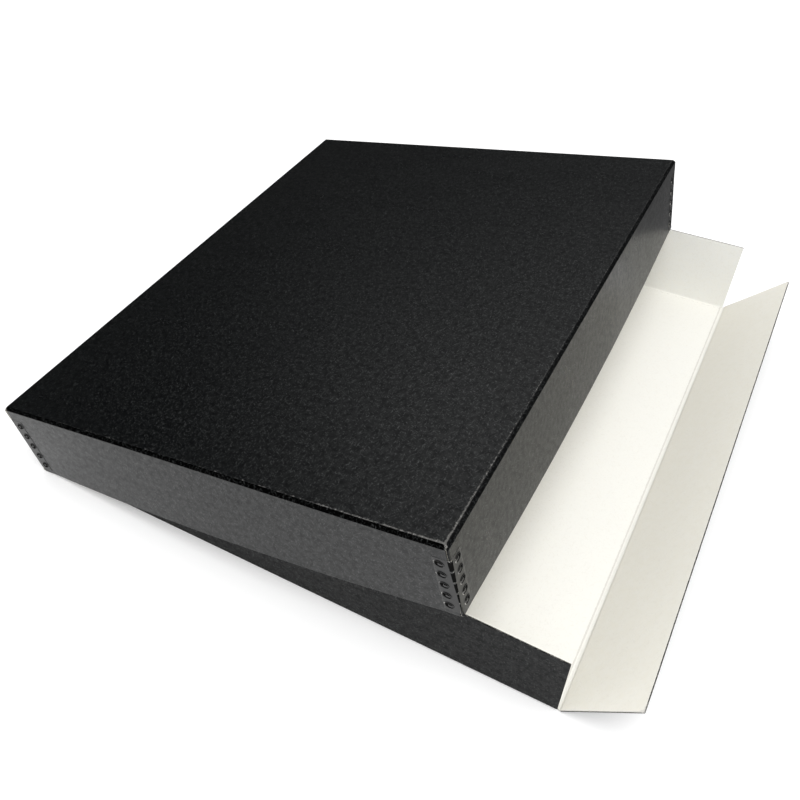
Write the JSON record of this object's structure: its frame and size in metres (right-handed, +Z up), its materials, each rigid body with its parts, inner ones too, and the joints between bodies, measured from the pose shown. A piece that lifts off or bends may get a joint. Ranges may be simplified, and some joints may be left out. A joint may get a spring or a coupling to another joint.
{
  "type": "drop-front storage box",
  "caption": "Shallow storage box of black-faced board with a drop-front tray, a full-depth lift-off lid propped askew, and metal corner stays.",
  "frame": {"origin": "centre of the tray's underside, with the tray's walls closed round it, on the surface that it stands on", "axes": "+X towards the drop front, +Z up out of the tray; the lid stands askew, with its back edge on the table at -X and its front wall on the tray's side walls"},
  "size_m": [0.569, 0.544, 0.1547],
  "materials": {
    "board": "satin",
    "stay_steel": "satin"
  },
  "bodies": {
    "tray": {"base_floor": "board", "base_back_wall": "board", "base_left_wall": "board", "base_right_wall": "board", "base_left_stay": "stay_steel", "base_right_stay": "stay_steel"},
    "front": {"drop_front": "board"},
    "lid": {"lid_top_panel": "board", "lid_front_wall": "board", "lid_back_wall": "board", "lid_left_wall": "board", "lid_right_wall": "board", "lid_front_left_stay": "stay_steel", "lid_front_right_stay": "stay_steel", "lid_back_left_stay": "stay_steel", "lid_back_right_stay": "stay_steel"}
  },
  "joints": [
    {"name": "lid_lift", "type": "slide", "parent": "tray", "child": "lid", "axis": [0, 0, 1], "range_m": [0, 0.12]},
    {"name": "front_drop", "type": "hinge", "parent": "tray", "child": "front", "pos_m": [0.2103, 0, 0.00075], "axis": [0, -1, 0], "range_deg": [-45.7, 44.3]}
  ]
}
